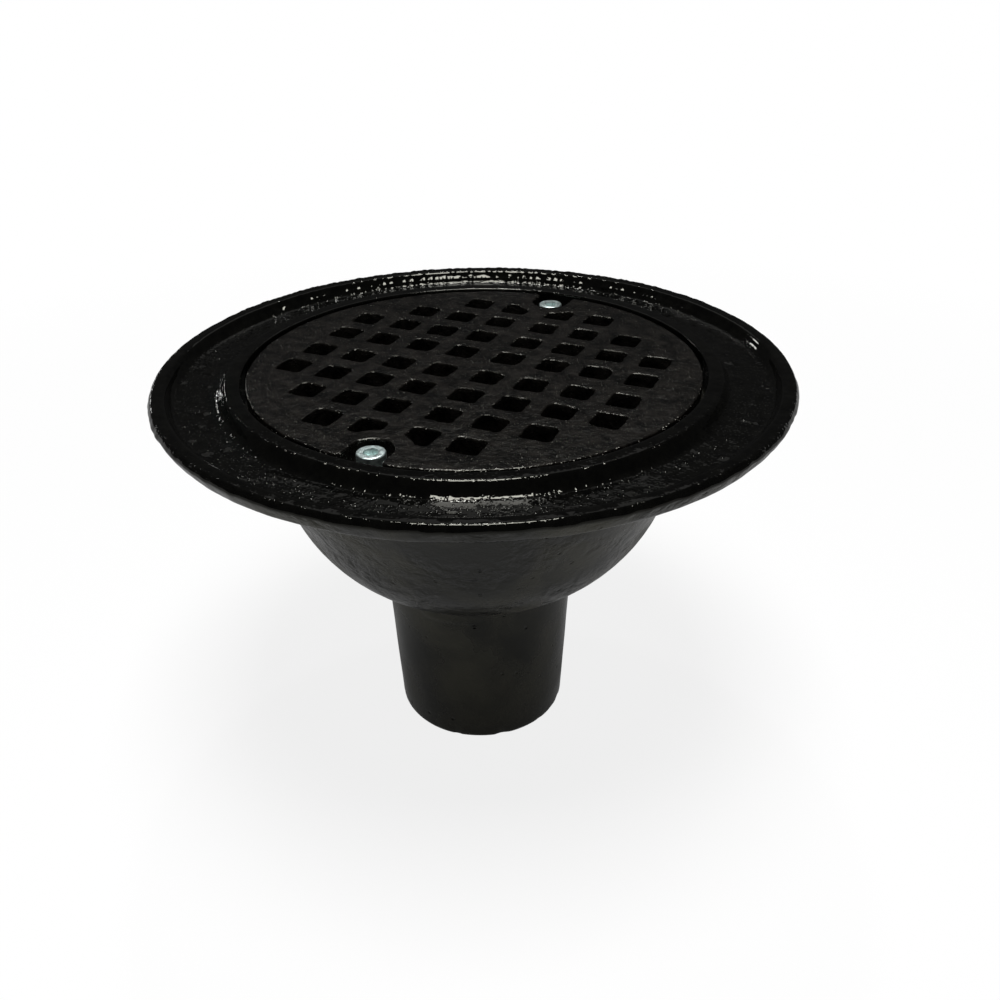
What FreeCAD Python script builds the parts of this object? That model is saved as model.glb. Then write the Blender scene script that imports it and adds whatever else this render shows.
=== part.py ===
"""Round cast-iron scupper drain with a strainer grate held by two socket screws. Sizes in millimetres.

The drain stands on the end of its outlet spigot. The origin is the centre of that end, and +Z is the
drain's own axis, up through the grate. The two grate screws lie on the Y axis.
"""

import FreeCAD, Part
import math
import os
import Sketcher

SIZES = {
    "overall_height": 134.2,       # spigot end to the top of the rim
    "flange_radius": 102.5,        # outside of the rim
    "rim_height": 2.1,             # upright side of the rim
    "bevel_radius": 100.7,         # lower edge of the rim's bevelled underside
    "bevel_depth": 6.0,            # that edge below the top of the rim
    "lip_radius": 97.5,            # inner top edge of the raised lip
    "lip_foot_radius": 96.4,       # where the lip meets the channel floor
    "channel_depth": 4.3,          # channel floor below the top of the rim
    "ring_foot_radius": 82.9,      # where the raised ring meets the channel floor
    "ring_radius": 79.6,           # outer top edge of the raised ring
    "ring_bore_radius": 75.0,      # seat that the grate drops into
    "wall": 5.0,                   # casting thickness
    "plate_radius": 94.0,          # where the flat underside of the flange turns up to the rim
    "bowl_radius": 71.7,           # outside of the bowl, which is part of a sphere
    "bowl_depth": 12.4,            # centre of that sphere below the top of the rim
    "flare_depth": 36.0,           # where the bowl starts to flare out to the flange, below that top
    "sump_radius": 61.5,           # straight bore below the seat, in the thick metal that takes the screws
    "spigot_neck_radius": 33.2,    # spigot where it leaves the bowl
    "spigot_radius": 30.4,         # straight end of the spigot, for a 2 inch pipe joint
    "spigot_land": 12.0,           # length of that straight end
    "outlet_radius": 25.4,         # waterway
    "edge_bevel": 0.6,             # top edges of the rim, ring and grate
    "grate_radius": 73.3,
    "grate_thickness": 9.5,
    "grate_drop": 0.5,             # grate's top below the top of the ring
    "hole_side": 9.15,
    "hole_corner": 0.85,           # bevel that stands for the small round in a hole's corner
    "hole_pitch": 15.14,
    "centre_rib": 7.75,            # wider rib between the middle rows and between the middle columns
    "screw_circle": 66.3,          # screw axis from the drain's axis
    "boss_radius": 12.3,           # solid metal kept round a screw's recess
    "recess_radius": 6.6,
    "screw_drop": 0.8,             # top of the screw head below the grate's top
    "head_radius": 4.25,
    "head_height": 5.0,
    "socket_flats": 4.0,
    "socket_depth": 2.6,
    "thread_radius": 2.5,
    "thread_length": 12.0,
    "clearance_radius": 2.75,      # screw hole through the grate
    "tapped_radius": 2.55,         # screw hole in the body
    "tapped_depth": 10.0,
}

# Holes in one quarter of the grate, counted outward from the middle, one number for each row
HOLES_IN_ROW = (4, 4, 3, 2)

# Ways round an arc, seen as the sketch is drawn
LEFT_TURN = 1
RIGHT_TURN = -1

# Named points of a line, arc or circle, and the sketch's own origin
START = 1
END = 2
CENTRE = 3
SKETCH_ORIGIN = (-1, 1)

# An edge this near to a stated corner, in millimetres, is that corner's edge
SAME_PLACE = 0.05
HEXAGON_SIDES = 6

# Heights above the spigot end, and the inner radius of the bowl
SEAT_HEIGHT = "sizes.overall_height - sizes.grate_drop - sizes.grate_thickness"
FLOOR_HEIGHT = "sizes.overall_height - sizes.channel_depth"
PLATE_HEIGHT = FLOOR_HEIGHT + " - sizes.wall"
GRATE_TOP_HEIGHT = "sizes.overall_height - sizes.grate_drop"
HEAD_SEAT_HEIGHT = "sizes.overall_height - sizes.grate_drop - sizes.screw_drop - sizes.head_height"
BOWL_CENTRE_HEIGHT = "(sizes.overall_height - sizes.bowl_depth)"
BOWL_INNER_RADIUS = "(sizes.bowl_radius - sizes.wall)"


def make_sheet(doc):
    """Put the driving dimensions in a spreadsheet, one alias for each."""
    sheet = doc.addObject("Spreadsheet::Sheet", "sizes")
    for row, (alias, value) in enumerate(SIZES.items(), start=1):
        sheet.set(f"A{row}", alias)
        sheet.set(f"B{row}", str(value))
        sheet.setAlias(f"B{row}", alias)
    doc.recompute()
    return sheet


def origin_feature(body, role):
    """One of the body's own origin planes or axes."""
    return next(item for item in body.Origin.OriginFeatures if item.Role == role)


def new_sketch(body, name, plane, height=None):
    """A sketch on one of the body's origin planes, raised by an expression if one is given."""
    sketch = body.newObject("Sketcher::SketchObject", name)
    sketch.AttachmentSupport = [(origin_feature(body, plane), "")]
    sketch.MapMode = "FlatFace"
    if height:
        sketch.setExpression("AttachmentOffset.Base.z", height)
    sketch.Document.recompute()
    return sketch


def drive(sketch, kind, geometry, expression):
    """Add a dimension to the sketch and bind it to an expression of the sheet."""
    value = float(sketch.evalExpression(expression))
    index = sketch.addConstraint(Sketcher.Constraint(kind, *geometry, value))
    name = f"size_{index}"
    sketch.renameConstraint(index, name)
    sketch.setExpression(f"Constraints.{name}", expression)


def drive_point(sketch, geometry, point, across, up):
    """Place a point of the sketch from the sketch's origin by two expressions."""
    drive(sketch, "DistanceX", (*SKETCH_ORIGIN, geometry, point), across)
    drive(sketch, "DistanceY", (*SKETCH_ORIGIN, geometry, point), up)


def draw_circle(sketch, across, up, radius):
    """A circle whose centre and radius follow the sheet."""
    centre = FreeCAD.Vector(sketch.evalExpression(across), sketch.evalExpression(up), 0)
    circle = Part.Circle(centre, FreeCAD.Vector(0, 0, 1), sketch.evalExpression(radius))
    geometry = sketch.addGeometry(circle)
    drive_point(sketch, geometry, CENTRE, across, up)
    drive(sketch, "Radius", (geometry,), radius)


def draw_outline(sketch, corners):
    """Draw a closed outline of lines and arcs whose corners follow the sheet.

    Each corner is (across, up) or, where an arc leads on to the next corner, (across, up, arc), with
    the arc as (centre across, centre up, LEFT_TURN or RIGHT_TURN).
    """
    points = [FreeCAD.Vector(sketch.evalExpression(c[0]), sketch.evalExpression(c[1]), 0) for c in corners]
    ends = []
    for index, corner in enumerate(corners):
        start = points[index]
        stop = points[(index + 1) % len(points)]
        if len(corner) == 2:
            ends.append((sketch.addGeometry(Part.LineSegment(start, stop)), START, END))
            continue
        centre_across, centre_up, way = corner[2]
        centre = FreeCAD.Vector(sketch.evalExpression(centre_across), sketch.evalExpression(centre_up), 0)
        circle = Part.Circle(centre, FreeCAD.Vector(0, 0, 1), (start - centre).Length)
        first, last = (start, stop) if way == LEFT_TURN else (stop, start)
        angles = [math.atan2(point.y - centre.y, point.x - centre.x) for point in (first, last)]
        arc = sketch.addGeometry(Part.ArcOfCircle(circle, *angles))
        drive(sketch, "DistanceY", (*SKETCH_ORIGIN, arc, CENTRE), centre_up)
        ends.append((arc, START, END) if way == LEFT_TURN else (arc, END, START))
    for index, (geometry, first, last) in enumerate(ends):
        following = ends[(index + 1) % len(ends)]
        sketch.addConstraint(Sketcher.Constraint("Coincident", geometry, last, following[0], following[1]))
        drive_point(sketch, geometry, first, *corners[index][:2])


def add(body, kind, name, profile, **expressions):
    """Add a feature made from a sketch, with its sizes bound to the sheet."""
    feature = body.newObject(kind, name)
    feature.Profile = profile
    for size, expression in expressions.items():
        feature.setExpression(size, expression)
    body.Document.recompute()
    return feature


def cut(body, name, profile, **expressions):
    """Pocket a sketch downwards and make sure that it took metal away."""
    before = body.Shape.Volume
    pocket = add(body, "PartDesign::Pocket", name, profile, **expressions)
    if body.Shape.Volume >= before:
        raise RuntimeError(f"{name} cuts nothing")
    return pocket


def mirror(body, name, originals, plane):
    """Repeat features on the other side of one of the body's origin planes."""
    mirrored = body.newObject("PartDesign::Mirrored", name)
    mirrored.Originals = originals
    mirrored.MirrorPlane = (origin_feature(body, plane), [""])
    body.Tip = mirrored
    body.Document.recompute()
    return mirrored


def bevel_edges(body, name, corners):
    """Bevel the circular edges at the given (radius, height) corners of a turned shape."""
    base = body.Tip
    wanted = [tuple(float(base.evalExpression(text)) for text in corner) for corner in corners]
    found = []
    for index, edge in enumerate(base.Shape.Edges, start=1):
        if not isinstance(edge.Curve, Part.Circle):
            continue
        centre = edge.Curve.Center
        place = (edge.Curve.Radius, centre.z)
        on_axis = math.hypot(centre.x, centre.y) < SAME_PLACE
        if on_axis and any(math.dist(place, corner) < SAME_PLACE for corner in wanted):
            found.append(f"Edge{index}")
    if len(found) < len(wanted):
        raise RuntimeError(f"{name} finds {len(found)} edges of {len(wanted)}")
    bevel = body.newObject("PartDesign::Chamfer", name)
    bevel.Base = (base, found)
    bevel.setExpression("Size", "sizes.edge_bevel")
    body.Document.recompute()


def height_on_sphere(radius, sphere):
    """Height at which the lower half of a sphere about the bowl's centre has the given radius."""
    return f"{BOWL_CENTRE_HEIGHT} - sqrt({sphere} ^ 2 - {radius} ^ 2)"


def make_body(doc):
    """The body casting: flange with lip, channel and ring, seat for the grate, bowl and tapered spigot."""
    body = doc.addObject("PartDesign::Body", "drain_body")
    neck_height = height_on_sphere("sizes.spigot_neck_radius", "sizes.bowl_radius")
    sump_height = height_on_sphere("sizes.sump_radius", BOWL_INNER_RADIUS)
    outlet_height = height_on_sphere("sizes.outlet_radius", BOWL_INNER_RADIUS)
    flare_foot_radius = "sqrt(sizes.bowl_radius ^ 2 - (sizes.flare_depth - sizes.bowl_depth) ^ 2)"
    rim_top = ("sizes.flange_radius", "sizes.overall_height")
    ring_top = ("sizes.ring_radius", "sizes.overall_height")

    profile = new_sketch(body, "casting_profile", "XZ_Plane")
    draw_outline(profile, [
        ("sizes.outlet_radius", "0"),
        ("sizes.spigot_radius", "0"),
        ("sizes.spigot_radius", "sizes.spigot_land"),
        ("sizes.spigot_neck_radius", neck_height, ("0", BOWL_CENTRE_HEIGHT, LEFT_TURN)),
        (flare_foot_radius, "sizes.overall_height - sizes.flare_depth"),
        ("sizes.ring_bore_radius + sizes.wall", PLATE_HEIGHT),
        ("sizes.plate_radius", PLATE_HEIGHT),
        ("sizes.bevel_radius", "sizes.overall_height - sizes.bevel_depth"),
        ("sizes.flange_radius", "sizes.overall_height - sizes.rim_height"),
        rim_top,
        ("sizes.lip_radius", "sizes.overall_height"),
        ("sizes.lip_foot_radius", FLOOR_HEIGHT),
        ("sizes.ring_foot_radius", FLOOR_HEIGHT),
        ring_top,
        ("sizes.ring_bore_radius", "sizes.overall_height"),
        ("sizes.ring_bore_radius", SEAT_HEIGHT),
        ("sizes.sump_radius", SEAT_HEIGHT),
        ("sizes.sump_radius", sump_height, ("0", BOWL_CENTRE_HEIGHT, RIGHT_TURN)),
        ("sizes.outlet_radius", outlet_height),
    ])
    casting = add(body, "PartDesign::Revolution", "casting", profile)
    casting.ReferenceAxis = (profile, ["V_Axis"])
    doc.recompute()
    bevel_edges(body, "top_edges", [rim_top, ring_top])

    hole_sketch = new_sketch(body, "tapped_circle", "XY_Plane", SEAT_HEIGHT)
    draw_circle(hole_sketch, "0", "-sizes.screw_circle", "sizes.tapped_radius")
    tapped = cut(body, "tapped_hole", hole_sketch, Length="sizes.tapped_depth")
    mirror(body, "far_tapped_hole", [tapped], "XZ_Plane")
    return body


def cut_hole_row(grate, row, count):
    """Cut one row of square holes in a quarter of the grate and mirror it into the other three."""
    middle = "(sizes.centre_rib + sizes.hole_side) / 2"
    centre_up = f"({middle} + {row} * sizes.hole_pitch)"
    straight = "(sizes.hole_side / 2 - sizes.hole_corner)"
    corners = []
    for side_across, side_up in ((1, -1), (1, 1), (-1, 1), (-1, -1)):
        long_across = f"{middle} + {side_across} * sizes.hole_side / 2"
        long_up = f"{centre_up} + {side_up} * sizes.hole_side / 2"
        short_across = f"{middle} + {side_across} * {straight}"
        short_up = f"{centre_up} + {side_up} * {straight}"
        bevel = [(short_across, long_up), (long_across, short_up)]
        corners += bevel if side_across * side_up < 0 else reversed(bevel)
    sketch = new_sketch(grate, f"hole_outline_{row}", "XY_Plane", GRATE_TOP_HEIGHT)
    draw_outline(sketch, corners)
    hole = cut(grate, f"hole_{row}", sketch, Length="sizes.grate_thickness")

    columns = grate.Document.addObject("PartDesign::LinearPattern", f"columns_{row}")
    columns.Direction = (origin_feature(grate, "X_Axis"), [""])
    columns.Mode = "Spacing"
    columns.setExpression("Offset", "sizes.hole_pitch")
    columns.Occurrences = count
    halves = []
    for plane in ("YZ_Plane", "XZ_Plane"):
        half = grate.Document.addObject("PartDesign::Mirrored", f"half_{plane}_{row}")
        half.MirrorPlane = (origin_feature(grate, plane), [""])
        halves.append(half)
    quarters = grate.newObject("PartDesign::MultiTransform", f"hole_row_{row}")
    quarters.Originals = [hole]
    quarters.Transformations = [columns] + halves
    grate.Tip = quarters
    grate.Document.recompute()


def make_grate(doc):
    """The strainer grate: a disc with square holes in rows and two open recesses for the screws."""
    grate = doc.addObject("PartDesign::Body", "strainer_grate")
    disc_sketch = new_sketch(grate, "disc_circle", "XY_Plane", SEAT_HEIGHT)
    draw_circle(disc_sketch, "0", "0", "sizes.grate_radius")
    add(grate, "PartDesign::Pad", "disc", disc_sketch, Length="sizes.grate_thickness")
    bevel_edges(grate, "grate_edge", [("sizes.grate_radius", GRATE_TOP_HEIGHT)])
    for row, count in enumerate(HOLES_IN_ROW):
        cut_hole_row(grate, row, count)

    # The boss fills what the outermost holes would take from round the screw, inside the grate's edge
    limit = "(sizes.grate_radius - 2 * sizes.edge_bevel)"
    boss_up = f"-(sizes.screw_circle ^ 2 + {limit} ^ 2 - sizes.boss_radius ^ 2) / (2 * sizes.screw_circle)"
    boss_across = f"sqrt({limit} ^ 2 - ({boss_up}) ^ 2)"
    boss_sketch = new_sketch(grate, "boss_outline", "XY_Plane", SEAT_HEIGHT)
    draw_outline(boss_sketch, [
        (f"-{boss_across}", boss_up, ("0", "0", LEFT_TURN)),
        (boss_across, boss_up, ("0", "-sizes.screw_circle", LEFT_TURN)),
    ])
    boss = add(grate, "PartDesign::Pad", "boss", boss_sketch, Length="sizes.grate_thickness")

    past_edge = "-(sizes.grate_radius + sizes.recess_radius)"
    recess_sketch = new_sketch(grate, "recess_outline", "XY_Plane", GRATE_TOP_HEIGHT)
    draw_outline(recess_sketch, [
        ("-sizes.recess_radius", past_edge),
        ("sizes.recess_radius", past_edge),
        ("sizes.recess_radius", "-sizes.screw_circle", ("0", "-sizes.screw_circle", LEFT_TURN)),
        ("-sizes.recess_radius", "-sizes.screw_circle"),
    ])
    recess = cut(grate, "recess", recess_sketch, Length="sizes.screw_drop + sizes.head_height")
    clearance_sketch = new_sketch(grate, "clearance_circle", "XY_Plane", GRATE_TOP_HEIGHT)
    draw_circle(clearance_sketch, "0", "-sizes.screw_circle", "sizes.clearance_radius")
    clearance = cut(grate, "clearance_hole", clearance_sketch, Length="sizes.grate_thickness")
    mirror(grate, "far_recess", [boss, recess, clearance], "XZ_Plane")
    return grate


def make_screws(doc):
    """Two equal socket-head screws, one modelled and the other its mirror image, in one group."""
    def primitive(kind, name, height, **expressions):
        solid = doc.addObject(kind, name)
        solid.setExpression("Placement.Base.y", "-sizes.screw_circle")
        solid.setExpression("Placement.Base.z", height)
        for size, expression in expressions.items():
            solid.setExpression(size, expression)
        return solid

    head = primitive("Part::Cylinder", "head", HEAD_SEAT_HEIGHT,
                     Radius="sizes.head_radius", Height="sizes.head_height")
    shank = primitive("Part::Cylinder", "shank", HEAD_SEAT_HEIGHT + " - sizes.thread_length",
                      Radius="sizes.thread_radius", Height="sizes.thread_length")
    socket = primitive("Part::Prism", "socket",
                       HEAD_SEAT_HEIGHT + " + sizes.head_height - sizes.socket_depth",
                       Circumradius="sizes.socket_flats / sqrt(3)", Height="sizes.socket_depth")
    socket.Polygon = HEXAGON_SIDES
    blank = doc.addObject("Part::Fuse", "blank")
    blank.Base = head
    blank.Tool = shank
    driven = doc.addObject("Part::Cut", "driven")
    driven.Base = blank
    driven.Tool = socket
    far_screw = doc.addObject("Part::Mirroring", "far_screw")
    far_screw.Source = driven
    far_screw.Normal = FreeCAD.Vector(0, 1, 0)
    screws = doc.addObject("Part::Compound", "grate_screws")
    screws.Links = [driven, far_screw]
    doc.recompute()
    return screws


def main():
    """Build the drain, make sure that every object is sound and write one file for each sub-part."""
    doc = FreeCAD.newDocument("scupper_drain")
    make_sheet(doc)
    parts = [make_body(doc), make_grate(doc), make_screws(doc)]
    doc.recompute()
    failed = [item.Label for item in doc.Objects if {"Invalid", "Error"} & set(item.State)]
    if failed:
        raise RuntimeError(f"failed objects: {failed}")
    os.makedirs("parts", exist_ok=True)
    for part in parts:
        if part.Shape.isNull() or not part.Shape.isValid():
            raise RuntimeError(f"{part.Label} has no valid shape")
        part.Shape.exportStep(f"parts/{part.Label}.step")
        print(part.Label, len(part.Shape.Solids), "solids", round(part.Shape.Volume / 1000, 1), "cm3")


main()
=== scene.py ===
"""Looks of a black-painted cast-iron scupper drain, laid out as an add-on and run as a script."""

import itertools
import math
from typing import NamedTuple

import bmesh
import bpy
import numpy as np
from bpy.props import FloatProperty, FloatVectorProperty, IntProperty, PointerProperty, StringProperty
from mathutils import Matrix, Vector, geometry


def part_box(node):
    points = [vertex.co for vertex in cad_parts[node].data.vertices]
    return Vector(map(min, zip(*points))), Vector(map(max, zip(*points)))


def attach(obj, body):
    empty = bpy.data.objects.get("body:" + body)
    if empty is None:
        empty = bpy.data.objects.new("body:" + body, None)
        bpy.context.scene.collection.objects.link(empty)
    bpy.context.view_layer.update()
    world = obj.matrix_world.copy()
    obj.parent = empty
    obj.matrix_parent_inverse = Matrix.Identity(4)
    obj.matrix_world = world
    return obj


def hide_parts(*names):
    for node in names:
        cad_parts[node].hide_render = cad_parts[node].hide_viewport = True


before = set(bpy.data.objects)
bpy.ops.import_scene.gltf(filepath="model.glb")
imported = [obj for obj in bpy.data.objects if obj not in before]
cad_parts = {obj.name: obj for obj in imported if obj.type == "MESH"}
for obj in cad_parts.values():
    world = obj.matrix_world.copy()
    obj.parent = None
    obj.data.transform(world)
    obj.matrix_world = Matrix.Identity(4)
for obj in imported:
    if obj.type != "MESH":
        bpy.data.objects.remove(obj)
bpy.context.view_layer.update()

bl_info = {
    "name": "Scupper drain",
    "version": (1, 0, 0),
    "blender": (4, 5, 0),
    "location": "View3D > Sidebar > Drain",
    "description": "Builds a painted cast-iron scupper drain around its packed model",
    "category": "Object",
}

MM = 0.001
BODY_LOW, BODY_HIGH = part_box("drain_body")
GRATE_LOW, GRATE_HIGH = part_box("strainer_grate")
SCREWS_LOW, SCREWS_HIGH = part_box("grate_screws")
TOP = BODY_HIGH.z
# Bearings about the drain's axis: the side where highlight dots are painted on the edges, the side where
# paint gathered in drops, and a casting seam
GLINT_SIDE, DRIPPED, SEAM = (math.radians(bearing) for bearing in (-64.0, 116.0, -82.0))


def length(name, description, millimetres):
    """A size in millimetres as a length that the sidebar shows in the scene's unit."""
    return FloatProperty(name=name, description=description, default=millimetres * MM,
                         unit="LENGTH", precision=5)


def colour(name, description, code):
    """A paint or metal colour as an sRGB hex code."""
    return StringProperty(name=name, description=description, default=code)


class DrainBodySizes(bpy.types.PropertyGroup):
    """Radii, heights and roughness of the body casting."""
    spigot_end: length("Spigot end radius", "Outside of the spigot at its lower end", 30.3)
    neck_height: length("Neck height", "Neck above the spigot's end", 58.25)
    bore: length("Bore radius", "Waterway through the spigot", 25.4)
    bowl_round: length("Bowl round", "Radius of the arc that the bowl's side follows", 57.6)
    bowl_centre: length("Bowl centre radius", "That arc's centre from the drain's axis", 9.93)
    bowl_centre_height: length("Bowl centre height", "That arc's centre above the spigot's end", 110.9)
    flare_height: length("Flare height", "Where the bowl turns out to the flange", 92.0)
    root: length("Flange root radius", "Where the flare meets the flange's underside", 80.0)
    underside: length("Underside height", "Flat underside of the flange", 124.9)
    plate: length("Plate radius", "Where that underside turns up to the rim", 94.0)
    bevel: length("Bevel radius", "Lower edge of the rim's side", 100.7)
    bevel_depth: length("Bevel depth", "That edge below the top of the rim", 6.0)
    rim: length("Rim radius", "Widest part of the rim", 102.7)
    rim_depth: length("Rim depth", "Widest part below the top of the rim", 1.9)
    rim_top: length("Rim top radius", "Outer top edge of the lip", 101.6)
    lip: length("Lip radius", "Inner top edge of the lip", 97.5)
    lip_foot: length("Lip foot radius", "Where the lip meets the channel", 95.9)
    channel_depth: length("Channel depth", "Channel floor below the top of the rim", 4.3)
    ring_foot: length("Ring foot radius", "Where the ring rises from the channel", 82.1)
    ring: length("Ring radius", "Outer top edge of the ring", 79.6)
    ring_bore: length("Ring bore radius", "Hole in the ring that the grate drops into", 75.0)
    seat_height: length("Seat height", "Ledge that the grate rests on", 124.2)
    sump: length("Sump radius", "Straight bore under the seat", 61.5)
    sump_round: length("Sump round", "Inner radius of the bowl", 66.7)
    sump_centre_height: length("Sump centre height", "Centre of that radius, on the axis", 121.8)
    undulation: length("Undulation", "Slow unevenness of the sand mould", 0.10)
    peel: length("Orange peel", "Small unevenness of the thick paint", 0.05)
    bead: length("Paint bead", "Height of the paint drops along the lip", 0.75)
    columns: IntProperty(name="Columns", description="Vertices round the rim", default=800, min=64)


class StrainerGrateSizes(bpy.types.PropertyGroup):
    """Outline, holes and roughness of the grate casting."""
    radius: length("Grate radius", "Outside of the disc", 73.3)
    hole_side: length("Hole side", "Width of a square hole", 9.3)
    hole_round: length("Hole corner", "Round in a hole's corners", 1.4)
    hole_pitch: length("Hole pitch", "From one hole to the next", 15.14)
    first_hole: length("First hole", "Middle of the first row and column from the axis", 8.45)
    screw_circle: length("Screw circle", "Screw axis from the drain's axis", 66.3)
    boss: length("Boss radius", "Solid metal round a screw's recess", 12.3)
    recess: length("Recess radius", "Half width of a screw's open recess", 6.6)
    mouth_round: length("Mouth round", "Worn corners where a recess opens at the edge", 1.8)
    recess_depth: length("Recess depth", "Recess floor below the grate's top", 5.8)
    clearance: length("Clearance radius", "Screw hole through the grate", 2.75)
    edge_round: length("Edge round", "Worn round along the top edges", 0.45)
    waver: length("Waver", "Unevenness of the holes' outlines", 0.22)
    skin: length("Skin", "Unevenness of the cast top", 0.10)
    spacing: length("Spacing", "Distance between vertices on the top", 1.0)


class GrateScrewSizes(bpy.types.PropertyGroup):
    """Sizes of the two socket screws."""
    head: length("Head radius", "Outside of the head", 4.25)
    head_height: length("Head height", "Thickness of the head", 5.0)
    head_round: length("Head round", "Round at the head's top edge", 0.5)
    socket: length("Socket flats", "Across the flats of the hexagon", 4.0)
    socket_depth: length("Socket depth", "Depth of the hexagon", 2.6)
    shank: length("Shank radius", "Outside of the thread", 2.5)
    columns: IntProperty(name="Columns", description="Vertices round a screw", default=96, min=24)


class DrainFinish(bpy.types.PropertyGroup):
    """Colours of the paint and the plating."""
    paint_dark: colour("Paint, dark", "Thick glossy bitumen paint", "#030303")
    paint_pale: colour("Paint, pale", "Thick bitumen paint that has dulled", "#080807")
    dusty_dark: colour("Dusty paint, dark", "Thin bitumen paint on the bowl", "#0E0F0F")
    dusty_pale: colour("Dusty paint, pale", "Dust on the thin bitumen paint", "#33322A")
    grate_dark: colour("Grate, dark", "Bitumen paint in the grate's hollows", "#030303")
    grate_pale: colour("Grate, pale", "Rubbed bitumen paint on the grate's top", "#161412")
    # Colour of the highlight dots painted along the top edges, standing in for light caught by the grains
    painted_glint: colour("Glint", "Worn grains along the top edges", "#A09D94")
    sheen: colour("Sheen", "Warm tint of what the paint mirrors", "#FFFEF0")
    zinc: colour("Zinc", "Bright zinc plating", "#DCEBE9")
    floor: colour("Floor", "White sweep that the drain stands on", "#F6F6F6")


class DrainStage(bpy.types.PropertyGroup):
    """Floor, light and camera."""
    floor_radius: FloatProperty(
        name="Floor radius", description="Size of the white floor", default=8.0, unit="LENGTH")
    world_grey: FloatProperty(
        name="World", description="Level of the dim room round the floor", default=0.03)
    lens: FloatProperty(
        name="Lens", description="Focal length on a 36 mm sensor", default=36.689, unit="CAMERA")
    camera_place: FloatVectorProperty(
        name="Camera", description="Place of the camera",
        subtype="XYZ", unit="LENGTH", default=(0.13616, -0.27860, 0.26120), precision=5)
    camera_right: FloatVectorProperty(
        name="Camera right", description="Direction of the picture's right side",
        subtype="DIRECTION", default=(0.91150, 0.41119, -0.01007), precision=5)
    camera_up: FloatVectorProperty(
        name="Camera up", description="Direction of the picture's top",
        subtype="DIRECTION", default=(-0.19761, 0.45926, 0.86604), precision=5)


GROUPS = {
    "drain_body_sizes": DrainBodySizes,
    "strainer_grate_sizes": StrainerGrateSizes,
    "grate_screw_sizes": GrateScrewSizes,
    "drain_finish": DrainFinish,
    "drain_stage": DrainStage,
}


def ease(values, low, high):
    """A smooth step from 0 at low to 1 at high."""
    share = np.clip((values - low) / (high - low), 0.0, 1.0)
    return share * share * (3.0 - 2.0 * share)


def lattice_noise(points, cell, seed):
    """Smooth random values from -1 to 1.

    Each corner of a lattice of cubes with side cell has a random number from its integer place, and
    a point's value is eased between the eight corners round it.
    """
    scaled = np.asarray(points, float) / cell
    base = np.floor(scaled)
    share = scaled - base
    share = share * share * (3.0 - 2.0 * share)
    base = base.astype(np.int64)
    total = np.zeros(len(scaled))
    for corner in itertools.product((0, 1), repeat=3):
        place = (base + np.array(corner)).astype(np.uint64)
        mixed = place[:, 0] * np.uint64(73856093) ^ place[:, 1] * np.uint64(19349663)
        mixed ^= place[:, 2] * np.uint64(83492791) ^ np.uint64(seed * 2654435761)
        mixed = (mixed ^ (mixed >> np.uint64(13))) * np.uint64(1274126177)
        mixed = (mixed ^ (mixed >> np.uint64(16))) & np.uint64(0xFFFFFF)
        weight = np.where(np.array(corner), share, 1.0 - share).prod(1)
        total += weight * (mixed.astype(float) / 0x7FFFFF - 1.0)
    return total


def unit_circle(angles):
    """Points of the circle of radius 1 about the origin."""
    return np.column_stack((np.cos(angles), np.sin(angles)))


def arc(centre, radius, start, stop, count):
    """Points on an arc of a circle between two heights, on the side away from the drain's axis."""
    angles = np.linspace(*(math.asin((height - centre[1]) / radius) for height in (start, stop)), count)
    return np.array(centre) + radius * unit_circle(angles)


def even_steps(line, count):
    """Points at even steps along a line of straight pieces, both ends among them."""
    ends = np.concatenate(([0.0], np.cumsum(np.linalg.norm(np.diff(line, axis=0), axis=1))))
    along = np.linspace(0.0, ends[-1], count)
    return np.column_stack([np.interp(along, ends, line[:, axis]) for axis in (0, 1)])


def soften(outline, softness, step):
    """Round the corners of a closed outline of evenly spaced points.

    Each pass moves a point some way to the middle of its neighbours. The share is chosen so that all
    passes together blur the outline over the distance in softness, which differs from point to point.
    """
    passes = math.ceil((softness.max() / step) ** 2)
    share = ((softness / step) ** 2 / passes / 2.0)[:, None]
    for _ in range(passes):
        outline = outline + share * (np.roll(outline, 1, 0) + np.roll(outline, -1, 0) - 2.0 * outline)
    return outline


def stitch(lower, upper):
    """Faces between two rings of vertices whose counts are equal or two to one."""
    if len(lower) == len(upper):
        return np.column_stack((lower, np.roll(lower, -1), np.roll(upper, -1), upper))
    if len(lower) > len(upper):
        following = np.roll(lower, -2)[0::2]
        return np.column_stack((lower[0::2], lower[1::2], following, np.roll(upper, -1), upper))
    following = np.roll(upper, -2)[0::2]
    return np.column_stack((lower, np.roll(lower, -1), following, upper[1::2], upper[0::2]))


def glint_side_share(turn):
    """Share of the painted highlight dots and of the grain on the top edges round the axis: all on one side
    and few elsewhere.
    """
    return 0.3 + 0.7 * ease(np.cos(turn - GLINT_SIDE), 0.3, 0.8)


def on_flange(height):
    """1 at the heights of the flange and 0 below it."""
    return ease(height, TOP - 9.0 * MM, TOP - 6.5 * MM)


def fade(radius, height, spot, reach):
    """1 at a spot of the outline, and a bell curve's fall with the distance from it over the reach."""
    return np.exp(-((radius - spot[0]) ** 2 + (height - spot[1]) ** 2) / reach ** 2)


def mark(mesh, **marks):
    """Keep a value for each vertex under a name that the materials read."""
    for name, values in marks.items():
        layer = mesh.attributes.new(name, "FLOAT", "POINT")
        layer.data.foreach_set("value", np.asarray(values, np.float32))


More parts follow.
